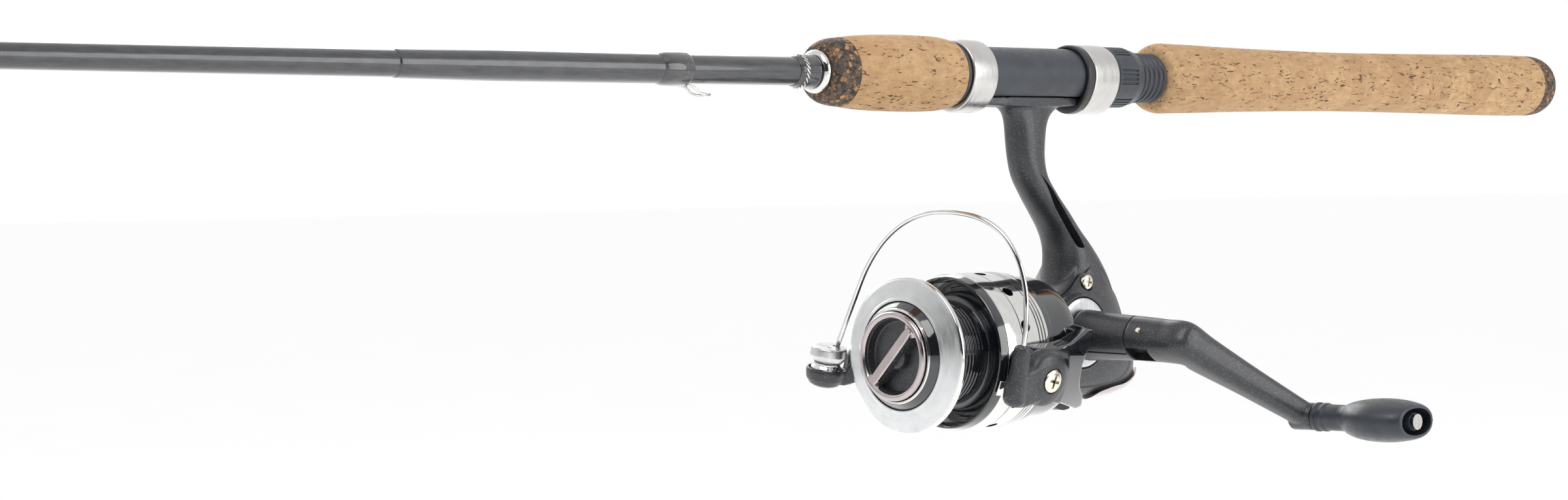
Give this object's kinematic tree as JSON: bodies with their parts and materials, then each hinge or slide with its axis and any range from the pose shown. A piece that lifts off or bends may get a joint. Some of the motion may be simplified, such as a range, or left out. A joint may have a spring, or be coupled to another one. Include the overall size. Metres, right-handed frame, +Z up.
{
  "type": "spinning fishing rod and reel",
  "caption": "Spinning rod with cork grips and a fixed-spool reel hung below it, with a turning crank, rotor, bail and spool and a screw-down reel seat.",
  "frame": {"origin": "on the rod's axis, above the middle of the reel foot, where a hand holds the rod", "axes": "+X along the rod towards the butt, +Z up, the reel below the rod with its crank on the -Y side"},
  "size_m": [1.676, 0.1661, 0.1341],
  "materials": {
    "blank": "satin graphite composite",
    "thread_wrap": "gloss epoxy over black thread",
    "cork": "matte natural cork",
    "composite_cork": "matte rubberised cork",
    "stainless": "satin",
    "polished_metal": "polished",
    "seat_plastic": "satin moulded",
    "charcoal_paint": "satin with fine metallic flake",
    "gloss_black": "gloss",
    "silver_metal": "satin",
    "rose_metal": "satin",
    "black_rubber": "matte",
    "brass": "polished",
    "zinc": "cast",
    "felt": "matte",
    "ceramic": "polished ceramic"
  },
  "bodies": {
    "rod": {"rod_blank_butt": "blank", "keeper_wrap": "thread_wrap", "hook_keeper": "stainless", "foregrip_wrap": "thread_wrap", "winding_check": "polished_metal", "foregrip_front_ring": "composite_cork", "foregrip_cork": "cork", "rear_grip_cork": "cork", "butt_cap": "composite_cork", "reel_seat_tube": "seat_plastic", "fixed_hood": "stainless", "stripper_guide_frame": "stainless", "stripper_guide_ring": "ceramic", "reel_body": "charcoal_paint", "side_cover": "charcoal_paint", "cover_screw": "brass", "crank_boss_ring": "silver_metal", "far_side_cap": "charcoal_paint", "near_crank_bearing": "stainless", "far_crank_bearing": "stainless", "pinion_bearing": "stainless", "tail_trim": "rose_metal"},
    "tip_section": {"rod_blank_tip": "blank", "second_guide_frame": "stainless", "second_guide_ring": "ceramic", "third_guide_frame": "stainless", "third_guide_ring": "ceramic", "tip_top_frame": "stainless"},
    "sliding_hood": {"sliding_hood_shell": "stainless", "sliding_hood_liner": "black_rubber"},
    "lock_nut": {"lock_nut": "seat_plastic"},
    "anti_reverse": {"anti_reverse_lever": "black_rubber"},
    "drive": {"drive_gear": "zinc", "crank_shank": "charcoal_paint", "fold_pin": "brass"},
    "crank": {"crank_arm": "charcoal_paint", "knob_axle": "stainless"},
    "knob": {"crank_knob": "seat_plastic"},
    "oscillation": {"oscillation_gear": "zinc"},
    "shaft": {"main_shaft": "stainless", "crosswind_block": "brass"},
    "spool": {"spool_body": "gloss_black", "spool_lip": "silver_metal", "line_clip": "polished_metal", "drag_washer": "felt", "drag_spring": "stainless"},
    "drag": {"drag_knob": "charcoal_paint", "drag_knob_ring": "rose_metal"},
    "rotor": {"pinion_gear": "brass", "rotor": "gloss_black", "rotor_nut": "brass", "bail_spring": "stainless", "bail_screw_wire_side": "brass", "bail_screw_roller_side": "brass"},
    "bail": {"bail_arm_wire_side": "charcoal_paint", "bail_arm_roller_side": "charcoal_paint", "roller_cap": "silver_metal", "bail_wire": "polished_metal"},
    "roller": {"line_roller": "polished_metal"}
  },
  "joints": [
    {"name": "ferrule", "type": "slide", "parent": "rod", "child": "tip_section", "axis": [-1, 0, 0], "range_m": [0, 0.06]},
    {"name": "hood_slide", "type": "slide", "parent": "rod", "child": "sliding_hood", "axis": [1, 0, 0], "range_m": [0, 0.012]},
    {"name": "lock_nut_turn", "type": "hinge", "parent": "sliding_hood", "child": "lock_nut", "pos_m": [0.04, 0, 0], "axis": [1, 0, 0], "range_deg": [0, 1728]},
    {"name": "anti_reverse_turn", "type": "hinge", "parent": "rod", "child": "anti_reverse", "pos_m": [0.005, 0, -0.1108], "axis": [0, 1, 0], "range_deg": [0, 20]},
    {"name": "crank_turn", "type": "hinge", "parent": "rod", "child": "drive", "pos_m": [0.0055, 0, -0.0865], "axis": [0, 1, 0], "continuous": true},
    {"name": "crank_fold", "type": "hinge", "parent": "drive", "child": "crank", "pos_m": [0.0042, -0.0448, -0.08846], "axis": [0.8339, 0, -0.5519], "range_deg": [0, 90]},
    {"name": "knob_turn", "type": "hinge", "parent": "crank", "child": "knob", "pos_m": [0.04836, -0.1, -0.11487], "axis": [0, 1, 0], "continuous": true},
    {"name": "oscillation_turn", "type": "hinge", "parent": "rod", "child": "oscillation", "pos_m": [0.0189, 0.005, -0.0892], "axis": [0, 1, 0], "continuous": true},
    {"name": "spool_stroke", "type": "slide", "parent": "rod", "child": "shaft", "axis": [1, 0, 0], "range_m": [-0.006, 0.007]},
    {"name": "spool_turn", "type": "hinge", "parent": "shaft", "child": "spool", "pos_m": [-0.05, 0, -0.091], "axis": [1, 0, 0], "continuous": true},
    {"name": "drag_turn", "type": "hinge", "parent": "shaft", "child": "drag", "pos_m": [-0.066, 0, -0.091], "axis": [1, 0, 0], "range_deg": [-360, 360]},
    {"name": "rotor_turn", "type": "hinge", "parent": "rod", "child": "rotor", "pos_m": [-0.02, 0, -0.091], "axis": [1, 0, 0], "continuous": true},
    {"name": "bail_open", "type": "hinge", "parent": "rotor", "child": "bail", "pos_m": [-0.034, 0, -0.091], "axis": [0, -0.972, -0.2351], "range_deg": [0, 110]},
    {"name": "roller_turn", "type": "hinge", "parent": "bail", "child": "roller", "pos_m": [-0.0602, 0.04071, -0.09555], "axis": [0, -0.2351, 0.972], "continuous": true}
  ],
  "couplings": [
    {"joint": "hood_slide", "follows": "lock_nut_turn", "m_per_rad": 0.00039789},
    {"joint": "rotor_turn", "follows": "crank_turn", "ratio": -5},
    {"joint": "oscillation_turn", "follows": "crank_turn", "ratio": -0.4}
  ]
}
